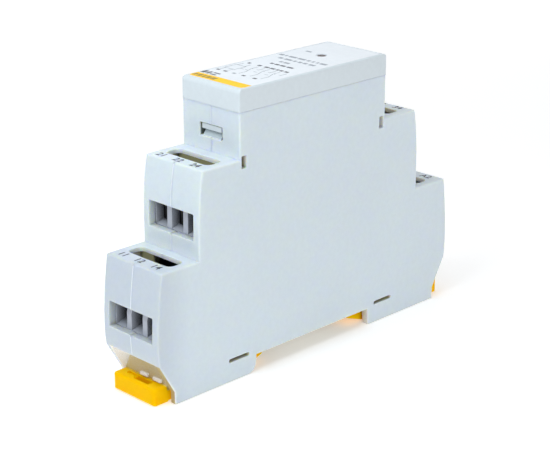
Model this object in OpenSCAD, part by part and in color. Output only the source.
// One-module DIN rail relay: three changeover relays in a stepped housing.
// Origin at the middle of the underside, X across the module, Y along the
// module, Z from the rail towards the label. Shapes at the ends are drawn for
// the +Y end, with y counted outwards, and mirrored to the -Y end.

/* [Housing] */
// Width of the housing, one module
body_w = 17.5; // [17.3:0.1:18]
// Length over the bulge of the lower terminal tiers
body_l = 91.3; // [91:0.1:91.5]
// Height from the feet to the top of the cap
body_h = 63.8; // [63:0.1:65]
// Length of the nose that passes through a distribution board's cover
nose_l = 44.8; // [44.4:0.1:45]
// Height of the joint between the shells and the cap
cap_joint_z = 58.9; // [58.5:0.1:59.2]
// Height of the upper terminal tiers
upper_top_z = 48.9; // [48.7:0.1:49.1]
// Height of the lower terminal tiers
lower_top_z = 29.8; // [29.7:0.1:30.1]
// Half the length over the upper tiers
upper_half_l = 34; // [33.9:0.1:34.2]
// Thickness of the side walls
side_wall = 1.4; // [1.2:0.1:1.4]
// Thickness of the end walls
end_wall = 1.8; // [1.7:0.1:1.8]

/* [Rail seat] */
// Width of the recess that a 35 mm rail sits in
rail_gap = 35.8; // [35.6:0.1:36]
// Depth of the rail seat above the feet
rail_seat_z = 4; // [3.8:0.1:4]
// Radius of the lead-in at the -Y side of the recess
lead_in_r = 2.5; // [1:0.1:2.8]
// Half the length over the two feet
foot_half_l = 41.3; // [41.2:0.1:41.5]
// Height at which the lower tiers' end faces stop
tier_bottom_z = 9.7; // [9.6:0.1:9.8]

/* [Terminals] */
// Distance between two poles of a terminal block
pole_pitch = 5; // [4.95:0.05:5]
// Distance of the lower clamp screws from the middle
lower_screw_y = 38.4; // [38.35:0.05:38.45]
// How far the upper tier's terminals stand in from the lower tier's
tier_step_y = 11; // [10.9:0.1:11]
// How far the upper tier's terminals stand above the lower tier's
tier_step_z = 19.4; // [19.3:0.1:19.4]
// Radius of a clamp screw's shank
shank_r = 1.3; // [1.2:0.05:1.35]
// Radial play between a screw and the cage that it lifts
thread_play = 0.06; // [0.04:0.01:0.08]
// Radius of a clamp screw's head
head_r = 1.9; // [1.7:0.05:1.9]
// Width of a screwdriver slot
driver_slot_w = 4.1; // [4.1:0.05:4.3]
// Length of a screwdriver slot
driver_slot_l = 13.4; // [13:0.1:13.6]
// Width of a wire window
window_w = 13.8; // [13.4:0.1:14]
// Height of a wire window
window_h = 5.7; // [5.5:0.1:5.8]

/* [Clips] */
// Width of a clip's head
clip_head_w = 13.2; // [12.8:0.1:13.4]
// Height of a clip's head
clip_head_h = 3.95; // [3.8:0.05:4]
// Width of the bar that slides in the foot
clip_bar_w = 12.4; // [12:0.1:12.6]
// Distance of a clip's tip from the middle
clip_tip_y = 13.8; // [13.7:0.1:14.2]

/* [Relays] */
// Length of a relay's case
relay_l = 29; // [28.8:0.1:29]
// Width of a relay's case
relay_w = 12.7; // [12.4:0.1:12.7]
// Height of a relay's case
relay_h = 15.7; // [15.5:0.1:15.7]
// Radius of a relay's core
core_r = 1.9; // [1.6:0.1:1.9]
// Radius of a relay's winding
winding_r = 4.2; // [3.8:0.1:4.3]

/* [Hidden] */
$fn = 48;
eps = 0.01;
half_w = body_w / 2;
half_l = body_l / 2;
nose_half = nose_l / 2;
inner_w = half_w - side_wall;
rail_half = rail_gap / 2;

// Floor over the clips, and the end pockets that hold the clip heads
floor_z = 5.5;
clip_channel_z = 3.1;
clip_channel_w = 13.8;
pocket_y = 38.8;
pocket_wall = 1.5;
top_wall = 1;

// Cap
cap_top_wall = 1.6;
label_t = 0.2;
label_w = 16.4;
label_l = 42.6;
led_y = 10.8;
led_r = 1;
tongue_w = 6;
tongue_bottom_z = 52.1;

// Windows and slots of the shells
latch_window_w = 7;
latch_window_z = [51.9, 54.75];
side_window = [1.4, 2.7];
side_window_y = 21.2;
side_window_z = 46.9;
side_window_depth = 2.5;
foot_slot = [5.9, 0.8];
foot_slot_y = 23;
foot_slot_z = 4.5;
foot_slot_depth = 2.4;
window_z = 14.35;

// Terminals, in the place of the lower tier at the +Y end
POLES = [-pole_pitch, 0, pole_pitch];
block_y = [33.3, 43.1];
block_z = [13.4, 25.7];
block_w = 14.5;
well_w = 3.5;
well_z = [15, 19.5];
cage_y = [36.15, 40.65];
cage_z = [14.2, 20.45];
cage_w = 3.9;
cage_play = 0.25;
cage_lift = 3;
tongue_z = [18.8, 19.4];
tail_w = 1;
tail_y = [33.9, 34.7];
tail_end_z = 7.4;
head_seat_z = 24.2;
head_h = 1.35;

// Boards
board_t = 1.6;
board_z = 8.6;
lower_board_l = 73.6;
upper_board_l = 63.2;
board_w = 14.2;
header_pitch = 2.54;

// Relays: [y of the middle, z of the board that carries it]
RELAYS = [
    [-16.7, board_z + board_t],
    [16.7, board_z + board_t],
    [-6.6, board_z + tier_step_z + board_t]
];
coil_axis_z = 7.7;
coil_y = [-12.1, 6];
yoke_t = 1;
yoke_end_y = 7.2;
pole_y = 6.75;
armature_y = [7.4, 8.2];
blade_y = [10.2, 10.5];
contact_z = 4.8;
fixed_contact_y = [8.6, 11.35];

// Names of the terminals, pole by pole from -X to +X
FRONT_LOWER = ["11", "12", "14"];
FRONT_UPPER = ["21", "22", "24"];
REAR_UPPER = ["31", "32", "34"];
REAR_LOWER = ["a1", "spare", "a2"];

// ---------- helpers ----------

// A box from its two limits along each axis
module span(x, y, z) {
    translate([x[0], y[0], z[0]])
        cube([x[1] - x[0], y[1] - y[0], z[1] - z[0]]);
}

// A flat outline in Y and Z, extruded along X
module slab(x, outline) {
    translate([x[0], 0, 0])
        rotate([90, 0, 90])
            linear_extrude(x[1] - x[0])
                polygon(outline);
}

// A rounded rectangle in X and Y, extruded along Z
module rounded_plate(size, r, z) {
    translate([0, 0, z[0]])
        linear_extrude(z[1] - z[0])
            union() {
                square([size[0] - 2 * r, size[1]], center = true);
                square([size[0], size[1] - 2 * r], center = true);
                for (sx = [-1, 1], sy = [-1, 1])
                    translate([sx * (size[0] / 2 - r), sy * (size[1] / 2 - r)])
                        circle(r);
            }
}

// Both ends: the +Y end as drawn, the -Y end mirrored
module both_ends() {
    children();
    mirror([0, 1, 0]) children();
}

// The end that a terminal or clip belongs to
module at_end(rear) {
    if (rear) children();
    else mirror([0, 1, 0]) children();
}

// Lifts the lower tier's shapes to the tier asked for
module at_tier(upper) {
    translate(upper ? [0, -tier_step_y, tier_step_z] : [0, 0, 0])
        children();
}

module axis_y(y, x, z, r) {
    translate([x, y[0], z])
        rotate([-90, 0, 0])
            cylinder(h = y[1] - y[0], r = r);
}

function mirrored(points) = [for (i = [len(points) - 1:-1:0]) [-points[i][0], points[i][1]]];

// ---------- housing ----------

// Outline of one end, from the foot up to the joint with the cap
END_OUTLINE = [
    [foot_half_l, 0],
    [foot_half_l, 2.8],
    [half_l - 0.4, tier_bottom_z],
    [half_l - 0.1, 12],
    [half_l, 14.5],
    [half_l - 0.12, 18],
    [half_l - 0.3, 20.5],
    [half_l - 0.95, 26],
    [half_l - 1.45, lower_top_z],
    [upper_half_l, lower_top_z],
    [upper_half_l - 0.4, 43.5],
    [upper_half_l - 1.3, upper_top_z],
    [nose_half, upper_top_z],
    [nose_half, cap_joint_z]
];

// Rail recess: plain at +Y, with a rounded lead-in at -Y
RAIL_RECESS = concat(
    [[-rail_half, rail_seat_z]],
    [for (a = [0:15:90])
        [-rail_half - lead_in_r * (1 - cos(a)), lead_in_r * (1 - sin(a))]]
);

HOUSING_OUTLINE = concat(
    END_OUTLINE,
    mirrored(END_OUTLINE),
    [for (i = [len(RAIL_RECESS) - 1:-1:0]) RAIL_RECESS[i]],
    [[rail_half, rail_seat_z], [rail_half + 0.3, 0]]
);

// Cavity of one end
CAVITY_END = [
    [pocket_y - pocket_wall, floor_z],
    [pocket_y - pocket_wall, tier_bottom_z + top_wall],
    [half_l - end_wall - 0.3, tier_bottom_z + top_wall],
    [half_l - end_wall, 13],
    [half_l - end_wall, 18],
    [half_l - end_wall - 0.3, 20.5],
    [half_l - end_wall - 0.95, 26],
    [half_l - end_wall - 1.3, lower_top_z - top_wall],
    [upper_half_l - end_wall, lower_top_z - top_wall],
    [upper_half_l - end_wall, 39.8],
    [upper_half_l - end_wall - 0.4, 43.5],
    [upper_half_l - end_wall - 1.1, upper_top_z - top_wall],
    [nose_half - end_wall, upper_top_z - top_wall],
    [nose_half - end_wall, cap_joint_z + 1]
];

module driver_slot_cut() {
    translate([0, lower_screw_y, 0])
        rounded_plate([driver_slot_l, driver_slot_w], 1.3, [lower_top_z - 3, lower_top_z + 1]);
}

module wire_window_cut() {
    span([-window_w / 2, window_w / 2], [half_l - end_wall - 1, half_l + 1],
        [window_z, window_z + window_h]);
}

// Everything that is cut out of one end of the shells
module end_cuts() {
    for (upper = [false, true])
        at_tier(upper) {
            driver_slot_cut();
            wire_window_cut();
        }
    // window for the cap's latch
    span([-latch_window_w / 2, latch_window_w / 2], [nose_half - end_wall - 1, nose_half + 1],
        latch_window_z);
    // latch windows in the side walls
    for (s = [-1, 1])
        translate([s * half_w, side_window_y, side_window_z])
            span([-side_window_depth, side_window_depth], [-side_window[0] / 2, side_window[0] / 2],
                [0, side_window[1]]);
    // shallow slots over the clips
    for (s = [-1, 1])
        translate([s * half_w, foot_slot_y, foot_slot_z])
            span([-foot_slot_depth, foot_slot_depth], [-foot_slot[0] / 2, foot_slot[0] / 2],
                [0, foot_slot[1]]);
    // channel of the clip's bar, and the pocket of its head
    span([-clip_channel_w / 2, clip_channel_w / 2], [rail_half - 1, foot_half_l + 1],
        [-1, clip_channel_z]);
    span([-inner_w, inner_w], [pocket_y, half_l + 1], [-1, tier_bottom_z]);
}

// Ledges that carry the two boards
module board_ledges() {
    for (y = [-28, -14, 14, 28], z = [board_z, board_z + tier_step_z])
        span([inner_w - 0.6, inner_w + eps], [y - 1.5, y + 1.5], [z - 1.2, z - 0.05]);
}

// Ribs that hold the terminal blocks from behind
module block_ribs() {
    for (upper = [false, true])
        at_tier(upper)
            span([inner_w - 0.8, inner_w + eps], [block_y[0] - 0.7, block_y[0] - 0.1],
                [block_z[0], 27.1]);
}

module half_shell() {
    difference() {
        slab([0, half_w], HOUSING_OUTLINE);
        slab([-1, inner_w], concat(CAVITY_END, mirrored(CAVITY_END)));
        both_ends() end_cuts();
    }
    board_ledges();
    both_ends() block_ribs();
}

module right_shell() {
    color([0.80, 0.85, 0.87]) half_shell();
}

module left_shell() {
    color([0.80, 0.85, 0.87]) mirror([1, 0, 0]) half_shell();
}

// One latch tongue of the cap, with the barb that shows in its window
module cap_tongue() {
    inner_y = nose_half - end_wall;
    span([-tongue_w / 2, tongue_w / 2], [inner_y - 1.3, inner_y - 0.1],
        [tongue_bottom_z, cap_joint_z + 1]);
    slab([-tongue_w / 2, tongue_w / 2], [
        [inner_y - 0.2, tongue_bottom_z],
        [nose_half - 1.4, tongue_bottom_z],
        [nose_half - 0.5, tongue_bottom_z + 1.2],
        [nose_half - 0.5, latch_window_z[1] - 0.1],
        [inner_y - 0.2, latch_window_z[1] - 0.1]
    ]);
}

module front_cap() {
    skirt_w = inner_w - 0.1;
    skirt_y = nose_half - end_wall - 0.1;
    color([0.82, 0.87, 0.89]) {
        difference() {
            union() {
                span([-half_w, half_w], [-nose_half, nose_half], [cap_joint_z, body_h]);
                span([-skirt_w, skirt_w], [-skirt_y, skirt_y], [cap_joint_z - 1.5, cap_joint_z + 1]);
            }
            span([1 - skirt_w, skirt_w - 1], [1.3 - skirt_y, skirt_y - 1.3],
                [cap_joint_z - 2, body_h - cap_top_wall]);
            rounded_plate([label_w, label_l], 1.2, [body_h - label_t, body_h + 1]);
            translate([0, led_y, cap_joint_z]) cylinder(h = body_h, r = led_r);
        }
        both_ends() cap_tongue();
    }
}

module label() {
    color([0.95, 0.95, 0.93])
        difference() {
            rounded_plate([label_w - 0.1, label_l - 0.1], 1.15, [body_h - label_t, body_h]);
            translate([0, led_y, body_h - 1]) cylinder(h = 2, r = led_r + 0.25);
        }
}

module light_pipe() {
    pipe_r = led_r - 0.04;
    pipe_foot_z = board_z + tier_step_z + board_t + 4.8;
    color([0.55, 0.12, 0.10])
        translate([0, led_y, 0]) {
            translate([0, 0, pipe_foot_z]) cylinder(h = body_h - 0.1 - pipe_foot_z, r = pipe_r);
            translate([0, 0, body_h - cap_top_wall - 1.2]) cylinder(h = 1.15, r = 1.8);
        }
}

module status_led() {
    led_foot_z = board_z + tier_step_z + board_t;
    color([0.8, 0.15, 0.12])
        translate([0, led_y, led_foot_z]) {
            cylinder(h = 0.9, r = 1.9);
            cylinder(h = 3.1, r = 1.5);
            translate([0, 0, 3.1]) sphere(1.5);
        }
}

// ---------- rail clips ----------

CLIP_HEAD = [
    [41.4, 0.15],
    [44.7, 0.15],
    [45.4, 0.5],
    [45.4, clip_head_h - 0.6],
    [44.8, clip_head_h],
    [41.4, clip_head_h]
];

CLIP_BAR = [
    [41.6, 0.15],
    [41.6, 2.75],
    [clip_tip_y, 2.75],
    [clip_tip_y, 2.1],
    [18.8, 0.3],
    [20, 0.15]
];

// Wall that rises behind the head and leans inwards
CLIP_RISER = [
    [41.75, 2.7],
    [41.75, clip_head_h],
    [40.2, 6.9],
    [39.3, 6.9],
    [40.6, clip_head_h],
    [40.6, 2.7]
];

// Clear plate that leans outwards from the back of the head
CLIP_GUARD = [
    [41.8, clip_head_h],
    [42.4, clip_head_h],
    [44.75, 9.35],
    [44.15, 9.35]
];

module clip() {
    head = [-clip_head_w / 2, clip_head_w / 2];
    color([0.98, 0.74, 0.04]) {
        difference() {
            union() {
                slab(head, CLIP_HEAD);
                slab(head, CLIP_RISER);
                slab([-clip_bar_w / 2, clip_bar_w / 2], CLIP_BAR);
            }
            // pocket for a screwdriver's tip
            span([-1.4, 3.4], [42.7, 44.2], [1.6, clip_head_h + 1]);
            // opening in the bar that leaves two springy rails
            span([-3.4, 3.4], [22, 36], [-1, clip_channel_z]);
        }
    }
}

module clip_guard() {
    guard_half = 7.1;
    color([0.93, 0.92, 0.86, 0.5]) {
        slab([-guard_half, guard_half], CLIP_GUARD);
        // two small lugs that hold the plate to the riser
        for (x = [-1, 3])
            span([x, x + 2.6], [41.8, 42.3], [clip_head_h, clip_head_h + 1.1]);
    }
}

module front_clip() {
    at_end(false) clip();
}

module rear_clip() {
    at_end(true) clip();
}

module front_clip_guard() {
    at_end(false) clip_guard();
}

module rear_clip_guard() {
    at_end(true) clip_guard();
}

// ---------- terminals ----------

// The outer face follows the bulge and the lean of the end wall; add is the lower tiers' bulge
function block_outline(add) = [
    [block_y[0], block_z[0]],
    [block_y[1] + add, block_z[0]],
    [block_y[1] + add, 17.8],
    [block_y[1] + add / 2, 20.3],
    [block_y[1] - 0.4, 24],
    [block_y[1] - 0.75, block_z[1]],
    [block_y[0], block_z[1]]
];

// The room that one pole takes out of a terminal block
module pole_cut() {
    // wire entry
    span([-well_w / 2, well_w / 2], [cage_y[1], block_y[1] + 1], well_z);
    // room in which the cage rises
    span([-cage_w / 2 - 0.2, cage_w / 2 + 0.2], [cage_y[0] - cage_play, cage_y[1] + cage_play],
        [cage_z[0] - 0.3, cage_z[1] + cage_lift + 0.15]);
    // screw shank and head
    translate([0, lower_screw_y, cage_z[1]]) cylinder(h = 6, r = shank_r + 0.2);
    translate([0, lower_screw_y, head_seat_z]) cylinder(h = 6, r = head_r + 0.15);
    // current bar and its solder tail
    span([-1.3, 1.3], [tail_y[0] - 0.1, cage_y[0]], [tongue_z[0] - 0.1, tongue_z[1] + 0.1]);
    span([-tail_w / 2 - 0.1, tail_w / 2 + 0.1], [block_y[0] - 1, tail_y[1] + 0.1],
        [block_z[0] - 1, tongue_z[1] + 0.1]);
}

module terminal_block(upper) {
    color([0.80, 0.80, 0.86])
        difference() {
            slab([-block_w / 2, block_w / 2], block_outline(upper ? 0 : 0.65));
            for (x = POLES) translate([x, 0, 0]) pole_cut();
        }
}

module clamp_screw() {
    color([0.75, 0.75, 0.72])
        translate([0, lower_screw_y, 0])
            difference() {
                union() {
                    translate([0, 0, tongue_z[1] + 0.05])
                        cylinder(h = head_seat_z - tongue_z[1] + 0.5, r = shank_r);
                    translate([0, 0, head_seat_z + 0.02]) cylinder(h = head_h, r = head_r);
                }
                // slotted drive
                span([-head_r - 1, head_r + 1], [-0.35, 0.35],
                    [head_seat_z + head_h - 0.7, head_seat_z + head_h + 1]);
                span([-0.35, 0.35], [-1.2, 1.2],
                    [head_seat_z + head_h - 0.7, head_seat_z + head_h + 1]);
            }
}

module cage() {
    color([0.78, 0.78, 0.76])
        difference() {
            span([-cage_w / 2, cage_w / 2], cage_y, cage_z);
            span([-1.35, 1.35], [cage_y[0] - 1, cage_y[1] + 1], [cage_z[0] + 0.9, cage_z[1] - 0.9]);
            translate([0, lower_screw_y, cage_z[0] + 3])
                cylinder(h = 6, r = shank_r + thread_play);
        }
}

module tail() {
    span([-1.2, 1.2], [tail_y[0], cage_y[1] - 0.15], tongue_z);
    span([-tail_w / 2, tail_w / 2], tail_y, [tail_end_z, tongue_z[1]]);
}

// One pole's piece, at its end, tier and pole
module at_pole(rear, upper, pole) {
    at_end(rear)
        at_tier(upper)
            translate([POLES[pole], 0, 0])
                children();
}

// Draws the screw or cage whose node is asked for
module draw_pole(kind, name, rear, upper, pole) {
    wanted = str(kind, "_", name);
    at_pole(rear, upper, pole) {
            if (kind == "screw") clamp_screw();
            else cage();
        }
}

module draw_tier(names, rear, upper) {
    for (pole = [0:2], kind = ["screw", "cage"])
        draw_pole(kind, names[pole], rear, upper, pole);
}

module terminal_tails() {
    color([0.80, 0.66, 0.35])
        for (rear = [false, true], upper = [false, true], pole = [0:2])
            at_pole(rear, upper, pole) tail();
}

// ---------- boards ----------

module tail_holes() {
    for (x = POLES)
        span([x - 0.75, x + 0.75], [tail_y[0] - 0.2, tail_y[1] + 0.2],
            [board_z - 1, board_z + board_t + 1]);
}

// Slots in a board or relay base for a relay's pins
module relay_pin_slots(z) {
    for (y = fixed_contact_y) span([-1.1, 1.1], [y - 0.15, y + 0.45], z);
    for (x = [-3.8, 3.8]) span([x - 0.5, x + 0.5], [-11.5, -10.5], z);
}

module header_holes(z) {
    for (i = [-2:2])
        span([i * header_pitch - 0.5, i * header_pitch + 0.5], [-0.5, 0.5], z);
}

module board(length, upper, relays) {
    tier_z = upper ? tier_step_z : 0;
    color([0.10, 0.38, 0.20])
        difference() {
            span([-board_w / 2, board_w / 2], [-length / 2, length / 2],
                [board_z + tier_z, board_z + board_t + tier_z]);
            both_ends() at_tier(upper) tail_holes();
            for (k = relays)
                translate([0, RELAYS[k][0], RELAYS[k][1]]) relay_pin_slots([-3, 1]);
            header_holes([board_z + tier_z - 1, board_z + board_t + tier_z + 1]);
        }
}

module lower_board() {
    board(lower_board_l, false, [0, 1]);
}

module upper_board() {
    board(upper_board_l, true, [2]);
}

module board_header() {
    lower_z = board_z + board_t;
    upper_z = board_z + tier_step_z;
    strip = 2.5 * header_pitch;
    color([0.12, 0.12, 0.12])
        for (z = [lower_z, upper_z - header_pitch])
            difference() {
                span([-strip, strip], [-1.2, 1.2], [z, z + header_pitch]);
                header_holes([z - 1, z + header_pitch + 1]);
            }
    color([0.80, 0.66, 0.35])
        for (i = [-2:2])
            translate([i * header_pitch, 0, 0])
                span([-0.32, 0.32], [-0.32, 0.32], [board_z + 0.1, upper_z + board_t - 0.1]);
}

module capacitor() {
    color([0.15, 0.17, 0.28])
        translate([-3.6, 17, board_z + tier_step_z + board_t]) {
            cylinder(h = 8, r = 3.15);
            cylinder(h = 8.4, r = 2.7);
        }
}

// Small parts that lie along X on the upper board
module lying_part(x, y, r, l) {
    translate([x - l / 2, y, board_z + tier_step_z + board_t + r + 0.15])
        rotate([0, 90, 0])
            cylinder(h = l, r = r);
}

module diodes() {
    color([0.13, 0.13, 0.14])
        for (y = [13.4, 16, 18.6]) lying_part(3.6, y, 1, 4.2);
}

module resistors() {
    color([0.72, 0.62, 0.45])
        for (y = [10, 12.4]) lying_part(-4.5, y, 0.85, 3.6);
}

// ---------- relays ----------

module at_relay(k) {
    translate([0, RELAYS[k][0], RELAYS[k][1]]) children();
}

module relay_case() {
    wall = 0.7;
    color([0.10, 0.12, 0.15])
        difference() {
            span([-relay_w / 2, relay_w / 2], [-relay_l / 2, relay_l / 2], [0.02, relay_h]);
            span([wall - relay_w / 2, relay_w / 2 - wall], [wall - relay_l / 2, relay_l / 2 - wall],
                [-1, relay_h - wall]);
        }
}

module relay_base() {
    difference() {
        span([0.8 - relay_w / 2, relay_w / 2 - 0.8], [0.8 - relay_l / 2, relay_l / 2 - 0.8],
            [0.3, 2.3]);
        relay_pin_slots([-1, 3]);
    }
}

// Yoke, core and pole face
module relay_frame() {
    yoke_top = coil_axis_z + 5.2;
    leg_y = [coil_y[0] - 0.1 - yoke_t, coil_y[0] - 0.1];
    span([-3.5, 3.5], leg_y, [3, yoke_top + yoke_t]);
    span([-3.5, 3.5], [leg_y[0], yoke_end_y], [yoke_top, yoke_top + yoke_t]);
    axis_y([leg_y[1] - 0.1, pole_y], 0, coil_axis_z, core_r);
    axis_y([coil_y[1] + 0.05, pole_y], 0, coil_axis_z, core_r + 1);
}

module relay_bobbin() {
    flange = 4.6;
    difference() {
        union() {
            for (y = [coil_y[0], coil_y[1] - 0.8])
                span([-flange, flange], [y, y + 0.8],
                    [coil_axis_z - flange, coil_axis_z + flange]);
            axis_y(coil_y, 0, coil_axis_z, core_r + 0.7);
        }
        axis_y([coil_y[0] - 1, coil_y[1] + 1], 0, coil_axis_z, core_r + 0.05);
    }
}

module relay_winding() {
    span_y = [coil_y[0] + 0.9, coil_y[1] - 0.9];
    difference() {
        axis_y(span_y, 0, coil_axis_z, winding_r);
        axis_y([span_y[0] - 1, span_y[1] + 1], 0, coil_axis_z, core_r + 0.75);
    }
}

// Fixed contacts with their pins, and the two coil pins
module relay_contact_set() {
    // normally open contact, on the coil's side of the blade
    span([-0.9, 0.9], [fixed_contact_y[0], fixed_contact_y[0] + 0.3], [-2.6, contact_z + 1.1]);
    axis_y([fixed_contact_y[0] + 0.2, 9.17], 0, contact_z, 0.9);
    // normally closed contact, on the far side
    span([-0.9, 0.9], [fixed_contact_y[1], fixed_contact_y[1] + 0.3], [-2.6, contact_z + 1.1]);
    axis_y([11.01, fixed_contact_y[1] + 0.1], 0, contact_z, 0.9);
    for (x = [-3.8, 3.8]) span([x - 0.3, x + 0.3], [-11.3, -10.7], [-2.6, 2.9]);
}

// Hinged plate with its moulded carrier for the blade
module armature(k) {
    color([0.70, 0.70, 0.68])
        at_relay(k) {
            span([-3.6, 3.6], armature_y, [3.6, 14.2]);
            span([-2.4, 2.4], [armature_y[1] - eps, blade_y[0]], [7.5, 10.5]);
        }
}

module contact_blade(k) {
    color([0.82, 0.60, 0.38])
        at_relay(k) {
            span([-1.6, 1.6], blade_y, [contact_z - 1, 10.4]);
            axis_y([9.75, 10.95], 0, contact_z, 0.9);
        }
}

module relay_frames() {
    color([0.68, 0.68, 0.66])
        for (k = [0:2]) at_relay(k) relay_frame();
}

module relay_bobbins() {
    color([0.90, 0.90, 0.86])
        for (k = [0:2]) at_relay(k) relay_bobbin();
}

module relay_windings() {
    color([0.66, 0.33, 0.16])
        for (k = [0:2]) at_relay(k) relay_winding();
}

module relay_bases() {
    color([0.14, 0.14, 0.16])
        for (k = [0:2]) at_relay(k) relay_base();
}

module relay_contacts() {
    color([0.82, 0.66, 0.36])
        for (k = [0:2]) at_relay(k) relay_contact_set();
}

// ---------- the whole part, or one node of it ----------

right_shell();
left_shell();
front_cap();
label();
light_pipe();
status_led();
front_clip();
rear_clip();
front_clip_guard();
rear_clip_guard();
at_end(false) at_tier(false) terminal_block(false);  // terminal_block_front_lower
at_end(false) at_tier(true) terminal_block(true);  // terminal_block_front_upper
at_end(true) at_tier(false) terminal_block(false);  // terminal_block_rear_lower
at_end(true) at_tier(true) terminal_block(true);  // terminal_block_rear_upper
draw_tier(FRONT_LOWER, false, false);
draw_tier(FRONT_UPPER, false, true);
draw_tier(REAR_LOWER, true, false);
draw_tier(REAR_UPPER, true, true);
terminal_tails();
lower_board();
upper_board();
board_header();
capacitor();
diodes();
resistors();
for (k = [0:2]) {
    at_relay(k) relay_case();
    armature(k);
    contact_blade(k);
}
relay_frames();
relay_bobbins();
relay_windings();
relay_bases();
relay_contacts();
